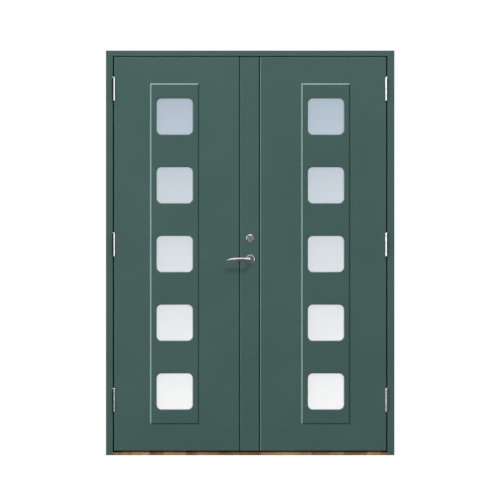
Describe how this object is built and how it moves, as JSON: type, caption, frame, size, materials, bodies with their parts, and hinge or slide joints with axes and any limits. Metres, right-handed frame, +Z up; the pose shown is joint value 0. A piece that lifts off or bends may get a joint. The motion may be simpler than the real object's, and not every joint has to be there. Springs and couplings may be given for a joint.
{
  "type": "front door",
  "caption": "Green painted pair of outward-opening front doors with raised panels, frosted square panes, lift-off hinges, lever handle and oak threshold in a rebated frame.",
  "frame": {"origin": "underside of the threshold, at mid width and mid depth of the frame", "axes": "+X to the right seen from outside, +Y into the house, +Z up"},
  "size_m": [1.49, 0.1752, 2.09],
  "materials": {
    "green_paint": "satin",
    "oak": "satin",
    "frosted_glass": "satin",
    "seal_rubber": "matte",
    "hinge_steel": "satin",
    "handle_steel": "polished"
  },
  "bodies": {
    "frame": {"frame_head": "green_paint", "left_jamb": "green_paint", "right_jamb": "green_paint", "threshold": "oak", "head_seal": "seal_rubber", "left_jamb_seal": "seal_rubber", "right_jamb_seal": "seal_rubber", "threshold_seal": "seal_rubber", "left_low_hinge_frame_half": "hinge_steel", "left_middle_hinge_frame_half": "hinge_steel", "left_top_hinge_frame_half": "hinge_steel", "right_low_hinge_frame_half": "hinge_steel", "right_middle_hinge_frame_half": "hinge_steel", "right_top_hinge_frame_half": "hinge_steel"},
    "left_leaf": {"left_leaf_core": "green_paint", "left_leaf_outer_skin": "green_paint", "left_leaf_inner_skin": "green_paint", "left_leaf_outer_panel": "green_paint", "left_leaf_inner_panel": "green_paint", "left_leaf_panes": "frosted_glass", "lock_stile_strip": "green_paint", "meeting_seal": "seal_rubber", "outer_handle_rose": "handle_steel", "inner_handle_rose": "handle_steel", "outer_cylinder_ring": "handle_steel", "inner_cylinder_ring": "handle_steel", "lock_cylinder": "handle_steel", "lock_face_plate": "handle_steel", "latch_and_bolt": "handle_steel", "left_low_hinge_leaf_half": "hinge_steel", "left_middle_hinge_leaf_half": "hinge_steel", "left_top_hinge_leaf_half": "hinge_steel"},
    "lever": {"outer_lever": "handle_steel", "inner_lever": "handle_steel", "lever_spindle": "handle_steel"},
    "right_leaf": {"right_leaf_core": "green_paint", "right_leaf_outer_skin": "green_paint", "right_leaf_inner_skin": "green_paint", "right_leaf_outer_panel": "green_paint", "right_leaf_inner_panel": "green_paint", "right_leaf_panes": "frosted_glass", "strike_plate": "handle_steel", "right_low_hinge_leaf_half": "hinge_steel", "right_middle_hinge_leaf_half": "hinge_steel", "right_top_hinge_leaf_half": "hinge_steel"}
  },
  "joints": [
    {"name": "left_leaf_swing", "type": "hinge", "parent": "frame", "child": "left_leaf", "pos_m": [-0.706, -0.0605, 1.086], "axis": [0, 0, -1], "range_deg": [0, 110]},
    {"name": "right_leaf_swing", "type": "hinge", "parent": "frame", "child": "right_leaf", "pos_m": [0.706, -0.0605, 1.086], "axis": [0, 0, 1], "range_deg": [0, 110]},
    {"name": "lever_turn", "type": "hinge", "parent": "left_leaf", "child": "lever", "pos_m": [0, -0.0525, 1.011], "axis": [0, -1, 0], "range_deg": [0, 45], "stiffness_Nm_per_rad": 1.2, "springref_deg": -45.84}
  ]
}
